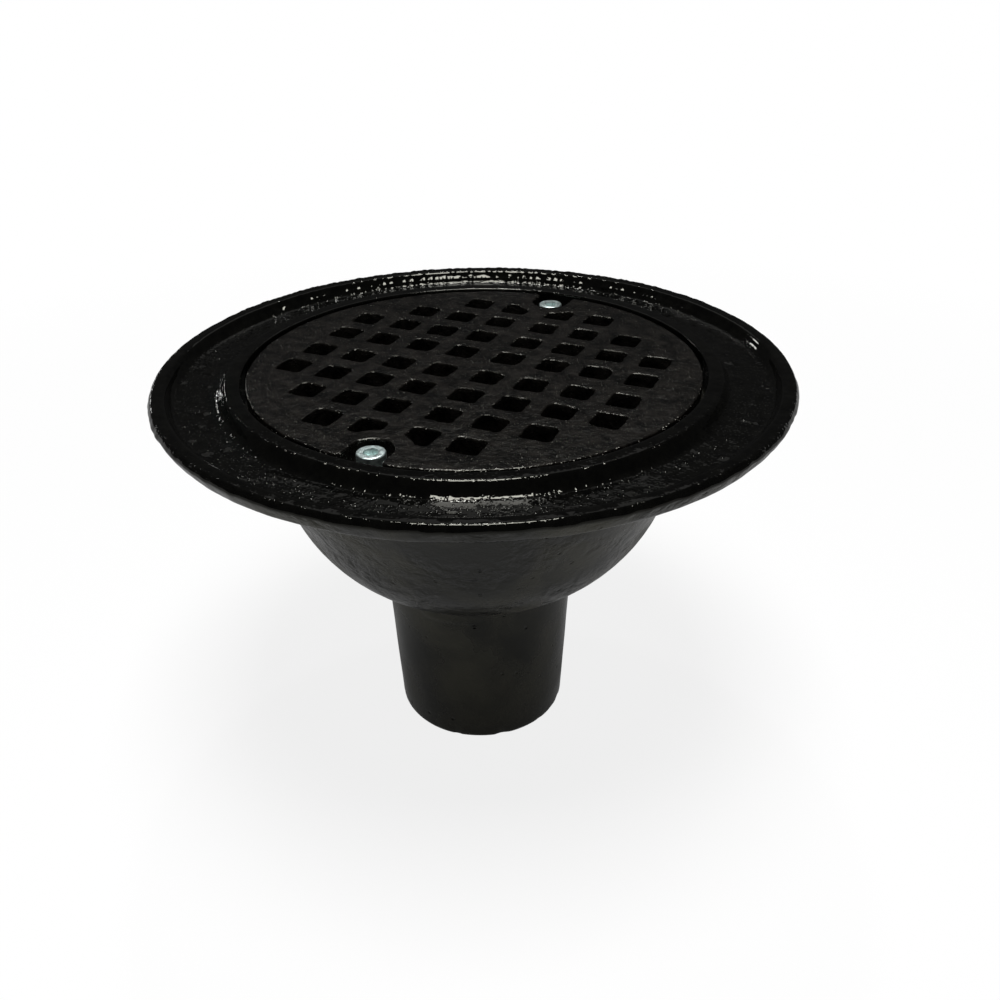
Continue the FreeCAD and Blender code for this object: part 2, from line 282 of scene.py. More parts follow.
def make_mesh(name, points, faces):
    """A mesh object at the origin from an array of points and a list of arrays of faces."""
    mesh = bpy.data.meshes.new(name)
    sizes = np.concatenate([np.full(len(group), group.shape[1]) for group in faces])
    loops = np.concatenate([group.ravel() for group in faces]).astype(np.int32)
    mesh.vertices.add(len(points))
    mesh.vertices.foreach_set("co", np.asarray(points, np.float32).ravel())
    mesh.loops.add(len(loops))
    mesh.loops.foreach_set("vertex_index", loops)
    mesh.polygons.add(len(sizes))
    mesh.polygons.foreach_set("loop_start", np.concatenate(([0], np.cumsum(sizes)[:-1])).astype(np.int32))
    mesh.polygons.foreach_set("use_smooth", np.ones(len(sizes), bool))
    mesh.update(calc_edges=True)
    if mesh.validate():
        raise RuntimeError(f"{name} had faulty faces")
    piece = bpy.data.objects.new(name, mesh)
    bpy.context.scene.collection.objects.link(piece)
    return piece


def stand_in(piece, node, material):
    """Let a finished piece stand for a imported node, with its material."""
    piece.data.materials.append(material)
    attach(piece, "root")
    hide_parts(node)


def linear(code):
    """An sRGB hex code as linear red, green, blue and alpha."""
    values = np.array([int(code[index:index + 2], 16) for index in (1, 3, 5)]) / 255.0
    values = np.where(values <= 0.04045, values / 12.92, ((values + 0.055) / 1.055) ** 2.4)
    return (*values, 1.0)


def add_node(tree, kind, inputs=None, **settings):
    """Add a node, set its properties, and set or link its inputs by name or place."""
    node = tree.nodes.new(kind)
    for name, value in settings.items():
        setattr(node, name, value)
    for key, value in (inputs or {}).items():
        if isinstance(value, bpy.types.NodeSocket):
            tree.links.new(value, node.inputs[key])
        else:
            node.inputs[key].default_value = value
    return node


def new_material(name):
    """A new material, its node tree, and the place on the object for its patterns."""
    material = bpy.data.materials.new(name)
    material.use_nodes = True
    tree = material.node_tree
    tree.nodes.clear()
    return material, tree, add_node(tree, "ShaderNodeTexCoord").outputs["Object"]


def dots(tree, place, width, covered, low, high, **settings):
    """Dots, one in each cell about one width across, apart from about the covered share of the cells.

    A dot is 1 up to low from its middle and falls to 0 at high, both as shares of the width.
    """
    cells = add_node(tree, "ShaderNodeTexVoronoi", {
        "Vector": place, "Scale": 1.0 / width, "Randomness": 1.0}).outputs
    bare = add_node(tree, "ShaderNodeMath", {0: cells["Color"], 1: covered}, operation="GREATER_THAN")
    return add_node(tree, "ShaderNodeMapRange", {
        "Value": cells["Distance"], "From Min": low, "From Max": high,
        "To Min": bare.outputs[0], "To Max": 0.0}, **settings).outputs["Result"]


def plain_sight(tree):
    """The light path's outputs, and whether a ray comes from the camera, straight or through glass."""
    path = add_node(tree, "ShaderNodeLightPath").outputs
    seen = add_node(tree, "ShaderNodeMath", {
        0: path["Is Camera Ray"], 1: path["Is Transmission Ray"]}, operation="MAXIMUM")
    return path, seen.outputs[0]


class Coat(NamedTuple):
    """A coat of paint: its dark and pale colours, and the roughness of each."""
    dark: str
    pale: str
    smooth: float
    rough: float


def painted_casting(name, finish, thick_coat, thin_coat, level, grain, relief, covered):
    """Bitumen paint brushed thick on sand-cast iron.

    The paint is nearly black and glossy where it flowed out thick, and satin, wrinkled and a little
    paler where it is thin, as on the bowl. Sand grains and small pits show through it, and along the
    top edges bright dots are painted into the colour as highlights on the grains. The specular level
    is the same all over. The grain is the width of the sand grains, the relief is their height, and
    covered is about the share of them that the paint hides.
    """
    material, tree, place = new_material(name)
    thick, grit, wrinkled = (add_node(tree, "ShaderNodeAttribute", attribute_name=key).outputs["Fac"]
                             for key in ("thick_paint", "grit", "wrinkled"))
    thin = add_node(tree, "ShaderNodeMath", {0: 1.0, 1: thick}, operation="SUBTRACT").outputs[0]
    stain = add_node(tree, "ShaderNodeTexNoise", {
        "Vector": place, "Scale": 1.0 / (30.0 * MM), "Detail": 4.0, "Distortion": 0.4}).outputs["Fac"]
    patch = add_node(tree, "ShaderNodeTexNoise", {
        "Vector": place, "Scale": 1.0 / (5.0 * MM), "Detail": 5.0, "Roughness": 0.85}).outputs["Fac"]
    bases, roughs = [], []
    for coat, pattern in ((thin_coat, stain), (thick_coat, patch)):
        tone = add_node(tree, "ShaderNodeMapRange", {
            "Value": pattern, "From Min": 0.40, "From Max": 0.62}).outputs["Result"]
        bases.append(add_node(tree, "ShaderNodeMix", {
            "Factor": tone, 6: linear(coat.dark), 7: linear(coat.pale)}, data_type="RGBA").outputs[2])
        roughs.append(add_node(tree, "ShaderNodeMapRange", {
            "Value": tone, "To Min": coat.smooth, "To Max": coat.rough}).outputs["Result"])
    base = add_node(tree, "ShaderNodeMix", {
        "Factor": thick, 6: bases[0], 7: bases[1]}, data_type="RGBA").outputs[2]
    roughness = add_node(tree, "ShaderNodeMix", {
        "Factor": thick, 2: roughs[0], 3: roughs[1]}, data_type="FLOAT").outputs[0]

    # Real sand is about half as coarse, but would be too fine to show in the render
    sand = dots(tree, place, grain, covered, 0.0, 0.45, interpolation_type="SMOOTHSTEP")
    # Bright highlight dots painted into the colour on the grains along the top edges, where grit passes
    # 0.42, mixed in by the mask below
    edge = add_node(tree, "ShaderNodeMapRange", {
        "Value": grit, "From Min": 0.42, "From Max": 0.5}).outputs["Result"]
    dot = add_node(tree, "ShaderNodeMapRange", {
        "Value": sand, "From Min": 0.35, "From Max": 0.8}).outputs["Result"]
    worn = add_node(tree, "ShaderNodeMath", {0: edge, 1: dot}, operation="MULTIPLY").outputs[0]
    base = add_node(tree, "ShaderNodeMix", {
        "Factor": worn, 6: base, 7: linear(finish.painted_glint)}, data_type="RGBA").outputs[2]
    grains = add_node(tree, "ShaderNodeBump", {
        "Height": sand, "Distance": relief, "Strength": grit}).outputs["Normal"]
    swell = add_node(tree, "ShaderNodeTexNoise", {
        "Vector": place, "Scale": 1.0 / (2.6 * MM), "Detail": 2.0}).outputs["Fac"]
    swells = add_node(tree, "ShaderNodeBump", {
        "Height": swell, "Distance": 1.25 * relief, "Strength": grit, "Normal": grains}).outputs["Normal"]

    # Wrinkles in patches on the bowl, and pits wherever the paint is thin
    wrinkle = add_node(tree, "ShaderNodeTexNoise", {
        "Vector": place, "Scale": 1.0 / (5.0 * MM), "Detail": 4.0, "Distortion": 0.3}).outputs["Fac"]
    where = add_node(tree, "ShaderNodeTexNoise", {
        "Vector": place, "Scale": 1.0 / (24.0 * MM), "Detail": 1.0}).outputs["Fac"]
    patches = add_node(tree, "ShaderNodeMapRange", {
        "Value": where, "From Min": 0.42, "From Max": 0.62, "To Min": 0.12, "To Max": 1.0}).outputs["Result"]
    patches = add_node(tree, "ShaderNodeMath", {0: patches, 1: wrinkled}, operation="MULTIPLY").outputs[0]
    wrinkles = add_node(tree, "ShaderNodeBump", {
        "Height": wrinkle, "Distance": 1.8 * MM, "Strength": patches, "Normal": swells}).outputs["Normal"]
    pit = dots(tree, place, 6.0 * MM, 0.55, 0.05, 0.15)
    pitted = add_node(tree, "ShaderNodeBump", {
        "Height": pit, "Distance": 0.6 * MM, "Strength": thin, "Normal": wrinkles},
        invert=True).outputs["Normal"]

    paint = add_node(tree, "ShaderNodeBsdfPrincipled", {
        "Base Color": base, "Roughness": roughness, "IOR": 1.45, "Specular IOR Level": level,
        "Specular Tint": linear(finish.sheen), "Normal": pitted})
    add_node(tree, "ShaderNodeOutputMaterial", {"Surface": paint.outputs["BSDF"]})
    return material


def zinc_plated_steel(name, code):
    """Bright zinc electroplated on steel: a bluish white metal with a fine uneven polish."""
    material, tree, place = new_material(name)
    patch = add_node(tree, "ShaderNodeTexNoise", {
        "Vector": place, "Scale": 1.0 / (1.2 * MM), "Detail": 3.0}).outputs["Fac"]
    roughness = add_node(tree, "ShaderNodeMapRange", {
        "Value": patch, "From Min": 0.3, "From Max": 0.7, "To Min": 0.30, "To Max": 0.50}).outputs["Result"]
    bumps = add_node(tree, "ShaderNodeBump", {
        "Height": patch, "Distance": 0.04 * MM, "Strength": 1.0}).outputs["Normal"]
    metal = add_node(tree, "ShaderNodeBsdfPrincipled", {
        "Base Color": linear(code), "Metallic": 1.0, "Roughness": roughness, "Normal": bumps})
    add_node(tree, "ShaderNodeOutputMaterial", {"Surface": metal.outputs["BSDF"]})
    return material


def white_sweep(name, code):
    """White paper sweep: seen as white with the drain's own shadow on it, and dimmer in what mirrors it.

    The paper glows for a ray that sees or mirrors it. The glow's share grows away from the drain, so
    that the drain's real shadow shows near it, and its mirrored strength is least close to the drain,
    a painted shadow of the drain in what mirrors the floor.
    """
    material, tree, place = new_material(name)
    away = add_node(tree, "ShaderNodeVectorMath", {0: place}, operation="LENGTH").outputs["Value"]
    path, seen = plain_sight(tree)
    mirrored = path["Is Glossy Ray"]
    glows = add_node(tree, "ShaderNodeMath", {0: seen, 1: mirrored}, operation="MAXIMUM").outputs[0]
    share = add_node(tree, "ShaderNodeMapRange", {
        "Value": away, "From Min": 0.12, "From Max": 0.6, "To Min": 0.85, "To Max": 1.0}).outputs["Result"]
    glow_share = add_node(tree, "ShaderNodeMath", {0: glows, 1: share}, operation="MULTIPLY").outputs[0]
    # Painted shadow of the drain in the floor's reflection: the mirrored glow is dimmest close to the drain
    mirror_glow_with_painted_shadow = add_node(tree, "ShaderNodeMapRange", {
        "Value": away, "From Min": 0.05, "From Max": 0.10, "To Min": 0.24, "To Max": 0.36}).outputs["Result"]
    strength = add_node(tree, "ShaderNodeMix", {
        "Factor": mirrored, 2: 1.0, 3: mirror_glow_with_painted_shadow}, data_type="FLOAT").outputs[0]
    paper = add_node(tree, "ShaderNodeBsdfDiffuse", {"Color": linear(code)}).outputs["BSDF"]
    glow = add_node(tree, "ShaderNodeEmission", {"Strength": strength}).outputs["Emission"]
    mixed = add_node(tree, "ShaderNodeMixShader", {0: glow_share, 1: paper, 2: glow}).outputs["Shader"]
    add_node(tree, "ShaderNodeOutputMaterial", {"Surface": mixed})
    return material


class DRAIN_OT_cast_body(bpy.types.Operator):
    """Turn the body casting from its outline and give it the unevenness of sand and thick paint."""
    bl_idname = "drain.cast_body"
    bl_label = "Cast body"

    OUTLINE_STEP = 0.15 * MM
    # Bend from one row to the next in radians, and the smallest gap that it may ask for
    ROW_BEND, SMALLEST_GAP = 0.4, 0.24 * MM
    # Widest gap between rows on the flange, at the spigot's two ends and inside, and then elsewhere
    PART_GAPS, PLAIN_GAP = (0.72 * MM, 1.0 * MM, 7.0 * MM), 3.4 * MM
    # How far the close rows go down the ring's bore, and to both sides of the neck and the spigot's end
    DOWN_BORE, ROUND_NECK, ROUND_END = 4.5 * MM, 7.0 * MM, 4.0 * MM

    def corners(self, size):
        """Names, places and softness of the outline's corners, in order from the bore's lower edge."""
        bowl = arc((size.bowl_centre, size.bowl_centre_height), size.bowl_round,
                   size.neck_height, size.flare_height, 40)
        sump_foot = size.sump_centre_height - math.sqrt(size.sump_round ** 2 - size.sump ** 2)
        outlet = size.sump_centre_height - math.sqrt(size.sump_round ** 2 - size.bore ** 2)
        sump = arc((0.0, size.sump_centre_height), size.sump_round, sump_foot, outlet, 30)
        floor = TOP - size.channel_depth
        rounds = [
            ("bore", (size.bore, 0.0), 0.5),
            ("spigot", (size.spigot_end, 0.0), 0.7),
            *[("bowl", point, 2.2 if index == 0 else 0.5) for index, point in enumerate(bowl[:-1])],
            ("flare", bowl[-1], 5.0),
            ("root", (size.root, size.underside), 3.0),
            ("plate", (size.plate, size.underside), 1.0),
            ("bevel", (size.bevel, TOP - size.bevel_depth), 1.1),
            ("rim", (size.rim, TOP - size.rim_depth), 0.35),
            ("rim_top", (size.rim_top, TOP), 0.25),
            ("lip", (size.lip, TOP), 0.7),
            ("lip_foot", (size.lip_foot, floor), 1.8),
            ("ring_foot", (size.ring_foot, floor), 0.9),
            ("ring", (size.ring, TOP), 0.3),
            ("ring_bore", (size.ring_bore, TOP), 0.3),
            ("seat", (size.ring_bore, size.seat_height), 0.5),
            ("sump", (size.sump, size.seat_height), 0.5),
            *[("inside", point, 0.5) for point in sump],
        ]
        names, places, softness = zip(*rounds)
        return names, np.array(places), np.array(softness) * MM

    def rows(self, size):
        """Rows of the turned surface: place, outward direction and number of columns of each.

        The softened outline is cut into rows that are closer together where it bends and on the flange,
        and the columns halve on the bowl and halve again inside.
        """
        names, places, softness = self.corners(size)
        closed = np.vstack((places, places[:1]))
        ends = np.concatenate(([0.0], np.cumsum(np.linalg.norm(np.diff(closed, axis=0), axis=1))))
        count = round(ends[-1] / self.OUTLINE_STEP)
        along = np.arange(count) * ends[-1] / count
        step = ends[-1] / count
        outline = np.column_stack([np.interp(along, ends, closed[:, axis]) for axis in (0, 1)])
        nearest = np.searchsorted((ends[1:] + ends[:-1]) / 2.0, along) % len(places)
        outline = soften(outline, softness[nearest], step)

        run = (np.roll(outline, -1, 0) - np.roll(outline, 1, 0)) / 2.0
        run /= np.linalg.norm(run, axis=1)[:, None]
        bend = np.linalg.norm(np.roll(run, -1, 0) - np.roll(run, 1, 0), axis=1) / (2.0 * step)
        start = {name: ends[names.index(name)] for name in names}
        flange = (along > start["plate"]) & (along < start["ring_bore"] + self.DOWN_BORE)
        inside = (along > start["sump"]) | (along < start["spigot"] / 2.0)
        fine = np.abs(along - start["bowl"]) < self.ROUND_NECK
        fine |= np.abs(along - start["spigot"]) < self.ROUND_END
        widest = np.select([flange, fine, inside], self.PART_GAPS, self.PLAIN_GAP)
        gaps = np.clip(self.ROW_BEND / np.maximum(bend, 1.0), self.SMALLEST_GAP, widest)
        columns = np.select([flange, inside], [size.columns, size.columns // 4], size.columns // 2)

        filled = np.concatenate(([0.0], np.cumsum(step / gaps)))
        wanted = np.arange(round(filled[-1])) * filled[-1] / round(filled[-1])
        chosen = np.searchsorted(filled, wanted, side="right") - 1
        outward = np.column_stack((run[:, 1], -run[:, 0]))
        return outline[chosen], outward[chosen], columns[chosen]

    def unevenness(self, size, radius, height, turn, points):
        """How far each vertex stands out.

        It is the sum of the mould's undulation, the paint's skin, lumps on the rim's side and on the
        channel's floor, rows of paint drops along the edges and a casting seam under the bowl, less the
        chips at the spigot's end.
        """
        def drops(at_radius, pitch, seed):
            """Domes in a row, one in each step of the pitch, each with its own place, width and height."""
            random = np.random.default_rng(seed)
            count = round(2.0 * math.pi * at_radius / pitch)
            middle = random.uniform(0.3, 0.7, count)
            reach = random.uniform(0.45, 0.75, count)
            rise = random.uniform(0.3, 1.0, count)
            along = turn / (2.0 * math.pi) * count
            step = np.floor(along).astype(int)
            highest = np.zeros(len(turn))
            for shift in (-1, 0, 1):
                index = (step + shift) % count
                share = (along - step - shift - middle[index]) / reach[index]
                highest = np.maximum(highest, rise[index] * (1.0 - share ** 2))
            return highest * heavy

        def near(spot, reach):
            """1 at a spot of the outline, fading to nothing past the reach."""
            return fade(radius, height, spot, reach)

        heavy = 0.05 + 0.95 * ease(np.cos(turn - DRIPPED), 0.35, 0.7)
        rim_side = near((size.rim, TOP - size.bevel_depth / 2.0), 3.0 * MM)
        # Noise: height, cell and seed
        skins = (
            (size.undulation, 21.0 * MM, 3),
            (0.5 * size.undulation, 9.0 * MM, 4),
            (size.peel * on_flange(height), 3.4 * MM, 5),
            (0.6 * size.peel * on_flange(height), 1.7 * MM, 6),
            (0.2 * MM * rim_side, 2.8 * MM, 43),
        )
        total = sum(rise * lattice_noise(points, cell, seed) for rise, cell, seed in skins)
        # Rows of drops: share of a bead's height, spot, reach, radius of the row, pitch, sharpness, seed
        rows = (
            (0.6, (size.lip, TOP - 0.4 * MM), 1.0 * MM, size.lip, 3.1 * MM, 2, 11),
            (1.9, (size.lip - 1.0 * MM, TOP - 3.0 * MM), 1.2 * MM, size.lip, 2.7 * MM, 1, 15),
            (0.5, (size.rim_top, TOP), 1.2 * MM, size.rim, 2.6 * MM, 1, 21),
            (0.15, (size.ring, TOP), 0.8 * MM, size.ring, 1.5 * MM, 1, 31),
            (0.6, (size.bevel, TOP - size.bevel_depth), 1.5 * MM, size.rim, 3.2 * MM, 1, 41),
        )
        for share, spot, reach, at_radius, pitch, sharpness, seed in rows:
            total += share * size.bead * near(spot, reach) * drops(at_radius, pitch, seed) ** sharpness

        chips = np.maximum(lattice_noise(points, 4.5 * MM, 81) - 0.25, 0.0)
        total -= 1.1 * MM * near((size.spigot_end, 0.0), 2.6 * MM) * chips
        seam = ease(np.cos(turn - SEAM), 0.93, 0.98) * (radius > size.spigot_end)
        total += 0.7 * MM * seam * np.exp(-((height - size.neck_height + 4.2 * MM) / (1.1 * MM)) ** 2)
        floor = (radius > size.ring_foot) & (radius < size.lip_foot)
        floor &= height > TOP - size.channel_depth - MM
        lumps = np.maximum(lattice_noise(points, 4.2 * MM, 51) - 0.52, 0.0)
        return total + floor * 0.9 * MM * lumps

    def finish_marks(self, size, radius, height, turn, inside):
        """Where the paint is thick, where it is wrinkled, how much sand grain shows, and where highlights
        are painted.

        It is thick on the flange and inside, and wrinkled on the bowl. The grain is 0.15 below the flange,
        0.05 on it, 0.4 on the channel's floor, up to 0.5 on the ring's edges, 0.44 along the rim's top,
        and 0 on the lip's inner edge. Where it passes 0.42 the material also paints bright highlight dots
        into the colour, so they show on the ring's edges on one side and faintly along the rim's top.
        """
        def edge(at_radius):
            """1 along an edge at the top of the body, fading to nothing past 0.9 mm."""
            return fade(radius, height, (at_radius, TOP), 0.9 * MM)

        widest = TOP - size.rim_depth
        outside = ease(radius, size.lip, size.rim_top) * (1.0 - ease(height, widest - 0.8 * MM, widest))
        flange = on_flange(height) * ease(radius, size.sump, size.ring_bore) * (1.0 - outside)
        floor = TOP - size.channel_depth
        channel = ease(radius, size.ring, size.ring_foot) * (1.0 - ease(radius, size.lip_foot, size.lip))
        channel *= 1.0 - ease(height, floor + 0.6 * MM, floor + 1.6 * MM)
        grit = 0.15 + flange * (0.35 * channel - 0.1)
        # Up to 0.5 on the ring's edges on one side: past 0.42 this also paints highlight dots into the
        # colour
        grit = np.maximum(grit, 0.5 * (edge(size.ring) + edge(size.ring_bore)) * glint_side_share(turn))
        grit = np.maximum(grit, 0.44 * edge(size.rim_top))
        lip = ease(radius, size.lip_foot, size.lip - MM) * (1.0 - ease(radius, size.lip, size.lip + MM))
        grit *= 1.0 - lip
        thick = np.maximum(flange, inside)
        bowl = ease(height, size.neck_height, size.neck_height + 12.0 * MM)
        return {"thick_paint": thick, "wrinkled": (1.0 - thick) * bowl, "grit": grit}

    def execute(self, context):
        size = context.scene.drain_body_sizes
        outline, outward, columns = self.rows(size)
        turn = np.concatenate([2.0 * math.pi * np.arange(count) / count for count in columns])
        radius, height = np.repeat(outline, columns, 0).T
        across, up = np.repeat(outward, columns, 0).T
        circle = unit_circle(turn)
        points = np.column_stack((circle * radius[:, None], height))
        normals = np.column_stack((circle * across[:, None], up))
        points += normals * self.unevenness(size, radius, height, turn, points)[:, None]
        points[:, 2] = np.clip(points[:, 2], BODY_LOW.z, None)

        firsts = np.concatenate(([0], np.cumsum(columns)))
        rings = [np.arange(first, last) for first, last in zip(firsts, firsts[1:])]
        faces = [stitch(ring, following) for ring, following in zip(rings, rings[1:] + rings[:1])]
        body = make_mesh("drain_body_casting", points, faces)
        inside = np.repeat(columns == size.columns // 4, columns)
        mark(body.data, **self.finish_marks(size, radius, height, turn, inside))
        finish = context.scene.drain_finish
        paint = painted_casting(
            "bitumen_paint_on_cast_iron", finish,
            thick_coat=Coat(finish.paint_dark, finish.paint_pale, smooth=0.04, rough=0.07),
            thin_coat=Coat(finish.dusty_dark, finish.dusty_pale, smooth=0.18, rough=0.40),
            level=0.4, grain=1.2 * MM, relief=0.36 * MM, covered=0.3)
        stand_in(body, "drain_body", paint)
        return {"FINISHED"}


class DRAIN_OT_cast_grate(bpy.types.Operator):
    """Cast the strainer grate with its square holes, worn edges and open screw recesses."""
    bl_idname = "drain.cast_grate"
    bl_label = "Cast grate"

    # Holes of one quarter, counted outward from the middle, one number for each row
    HOLES_IN_ROW = (4, 4, 3, 2)
    HOLE_POINTS = 56
    MOUTH_POINTS = 76
    SCREW_HOLE_POINTS = 40
    # Rows down a worn edge as shares of its round: distance from the edge, and depth
    EDGE_ROWS = ((1.6, 0.0), (1.0, 0.03), (0.6, 0.14), (0.3, 0.36), (0.09, 0.66), (0.0, 1.1))
    # Further rows down a hole's wall and down the rim, as depths below the top
    HOLE_DEPTHS = (2.5 * MM, 4.5 * MM, 7.0 * MM)
    RIM_DEPTH = 3.0 * MM
    # How much the holes vary: share of their size, lean in radians, and place
    SIZE_SPREAD, LEAN_SPREAD, PLACE_SPREAD = 0.018, 0.02, 0.12 * MM
    # Distance between vertices on the underside and on a recess's floor
    UNDERSIDE_SPACING, RECESS_SPACING = 5.0 * MM, 2.0 * MM

    def hole_centres(self, size):
        """Middles of all holes: the rows of one quarter and their three mirror images."""
        quarter = [(size.first_hole + column * size.hole_pitch, size.first_hole + row * size.hole_pitch)
                   for row, count in enumerate(self.HOLES_IN_ROW) for column in range(count)]
        signs = itertools.product((1, -1), (1, -1))
        return np.array([np.array(quarter) * sign for sign in signs]).reshape(-1, 2)

    def hole_outlines(self, size):
        """Outline of every hole: a square with round corners, a little uneven, cut off by a screw's boss.

        The outline is read at even steps along straight sides and quarter circles. A point that
        falls inside a boss moves out to the boss's circle.
        """
        random = np.random.default_rng(7)
        centres = self.hole_centres(size)
        flat = size.hole_side / 2.0 - size.hole_round
        angles = np.linspace(0.0, 2.0 * math.pi, 81)[:-1]
        turn = unit_circle(angles)
        square = np.sign(turn.round(9) + 1e-6) * flat + turn * size.hole_round
        square = even_steps(np.vstack((square, square[:1])), self.HOLE_POINTS + 1)[:-1]

        scale = 1.0 + random.normal(0.0, self.SIZE_SPREAD, (len(centres), 1, 2))
        lean = random.normal(0.0, self.LEAN_SPREAD, (len(centres), 1))
        outlines = square[None] * scale
        outlines = np.stack((outlines[..., 0] - lean * outlines[..., 1],
                             outlines[..., 1] + lean * outlines[..., 0]), -1)
        shift = random.normal(0.0, self.PLACE_SPREAD, (len(centres), 1, 2))
        outlines = outlines + centres[:, None] + shift
        flat_points = np.pad(outlines.reshape(-1, 2), ((0, 0), (0, 1)))
        coarse = np.column_stack([lattice_noise(flat_points, 2.4 * MM, seed) for seed in (61, 62)])
        fine = np.column_stack([lattice_noise(flat_points, 1.2 * MM, seed) for seed in (71, 72)])
        waver = coarse + 0.5 * fine
        outlines = outlines + size.waver * waver.reshape(outlines.shape)
        for side in (-1, 1):
            away = outlines - np.array((0.0, side * size.screw_circle))
            distance = np.linalg.norm(away, axis=-1, keepdims=True)
            outlines = outlines + away / distance * np.maximum(size.boss - distance, 0.0)
        return outlines

    def rim_outlines(self, size):
        """The disc's circle, and the same with two recesses that open at its edge, point for point.

        A recess is a half circle round the screw with straight sides out to worn corners at the edge.
        The second array equals the first outside the recesses.
        """
        worn = size.mouth_round
        across = size.recess + worn
        up = math.sqrt((size.radius - worn) ** 2 - across ** 2)
        half_mouth = math.atan2(across, up)
        corner_turn = np.linspace(math.pi / 2.0 - half_mouth, math.pi, 20)
        corner = np.array((across, up)) + worn * unit_circle(corner_turn)
        hollow = size.recess * unit_circle(np.linspace(0.0, -math.pi / 2.0, 30)) + (0.0, size.screw_circle)
        half_slot = np.vstack((corner, hollow))
        slot = np.vstack((half_slot, half_slot[-2::-1] * (-1.0, 1.0)))
        slot = even_steps(slot, self.MOUTH_POINTS)
        mouth_turn = math.pi / 2.0 + np.linspace(-half_mouth, half_mouth, self.MOUTH_POINTS)
        round_turn = np.linspace(math.pi / 2.0 + half_mouth, 1.5 * math.pi - half_mouth, 300)[1:-1]
        round_part = size.radius * unit_circle(round_turn)
        mouth = size.radius * unit_circle(mouth_turn)
        half_plain = np.vstack((mouth, round_part))
        half_notched = np.vstack((mouth[:1], slot[1:-1], mouth[-1:], round_part))
        recesses = [np.arange(self.MOUTH_POINTS) + start for start in (0, len(half_plain))]
        return np.vstack((half_plain, -half_plain)), np.vstack((half_notched, -half_notched)), recesses

    def inset(self, outline, distance):
        """Move a closed outline, drawn to the left, to its inner side by a distance."""
        run = np.roll(outline, -1, -2) - np.roll(outline, 1, -2)
        run = run / np.linalg.norm(run, axis=-1, keepdims=True)
        return outline + distance * np.stack((-run[..., 1], run[..., 0]), -1)

    def fill(self, loops, spacing):
        """Triangles between closed loops: the first is the border and the others are holes.

        Points of a triangular lattice with the given spacing fill the space, apart from those
        within about half a spacing of a loop. The triangles are Delaunay's, so they are as even
        as the points allow.
        """
        border = np.vstack(loops)
        starts = np.concatenate(([0], np.cumsum([len(loop) for loop in loops])))
        edges = np.vstack([np.column_stack((np.arange(first, last), np.roll(np.arange(first, last), -1)))
                           for first, last in zip(starts, starts[1:])])
        reach = np.abs(loops[0]).max()
        rows = np.arange(-reach, reach, spacing * math.sqrt(0.75))
        columns = np.arange(-reach, reach, spacing)
        lattice = np.stack(np.meshgrid(columns, rows), -1)
        lattice[1::2, :, 0] += spacing / 2.0
        lattice = lattice.reshape(-1, 2)
        candidates = lattice[self.between(lattice, loops)]
        apart = np.concatenate([((border - chunk[:, None]) ** 2).sum(-1).min(1)
                                for chunk in np.array_split(candidates, 400)])
        candidates = candidates[apart > (0.55 * spacing) ** 2]

        points = np.vstack((border, candidates))
        vectors = [Vector(point) for point in (points / MM).tolist()]
        found, _, triangles, sources, *_ = geometry.delaunay_2d_cdt(vectors, edges.tolist(), [], 0, 1e-7)
        if len(found) != len(points):
            raise RuntimeError("the outlines of a flat face cross each other")
        order = np.array([source[0] for source in sources])
        triangles = order[np.array(triangles)]
        return points, triangles[self.between(points[triangles].mean(1), loops)]

    def between(self, points, loops):
        """Whether each point is inside the first loop and outside the others."""
        keep = self.inside(points, loops[0])
        for loop in loops[1:]:
            close = np.flatnonzero(((points > loop.min(0)) & (points < loop.max(0))).all(1) & keep)
            keep[close[self.inside(points[close], loop)]] = False
        return keep

    def inside(self, points, loop):
        """Whether each point is inside a closed loop: a ray to its right meets an odd number of sides."""
        result = np.zeros(len(points), bool)
        following = np.roll(loop, -1, 0)
        for chunk in np.array_split(np.arange(len(points)), max(1, len(points) // 2000)):
            across, up = points[chunk, 0, None], points[chunk, 1, None]
            spans = (loop[:, 1] > up) != (following[:, 1] > up)
            rise = np.where(following[:, 1] == loop[:, 1], 1.0, following[:, 1] - loop[:, 1])
            meets = loop[:, 0] + (up - loop[:, 1]) * (following[:, 0] - loop[:, 0]) / rise
            result[chunk] = (spans & (across < meets)).sum(1) % 2 == 1
        return result

    def execute(self, context):
        size = context.scene.strainer_grate_sizes
        top, bottom = GRATE_HIGH.z, GRATE_LOW.z
        ledge = top - size.recess_depth
        holes = self.hole_outlines(size)
        plain, notched, recesses = self.rim_outlines(size)
        angles = np.linspace(0.0, 2.0 * math.pi, self.SCREW_HOLE_POINTS, endpoint=False)
        circle = size.clearance * unit_circle(angles)
        screw_holes = [circle + (0.0, side * size.screw_circle) for side in (1, -1)]
        points, faces, count = [], [], 0

        def put(new_points, new_faces):
            """Add points, and faces that count from the first of them."""
            nonlocal count
            points.append(new_points)
            faces.append(new_faces + count)
            count += len(new_points)

        def wall(rings):
            """Add the strips between rings that follow each other downwards."""
            stacked = np.vstack(rings)
            index = np.arange(len(stacked)).reshape(len(rings), -1)
            strips = [stitch(upper, lower)[:, ::-1] for upper, lower in zip(index, index[1:])]
            put(stacked, np.vstack(strips))

        def at(outline, height):
            """An outline at a height."""
            return np.column_stack((outline, np.full(len(outline), height)))

        def flat_face(loops, height, spacing, faces_up):
            """Add the flat surface between loops."""
            flat, triangles = self.fill(loops, spacing)
            ordered = self.turned_left(flat, triangles)
            put(at(flat, height), ordered if faces_up else ordered[:, ::-1])

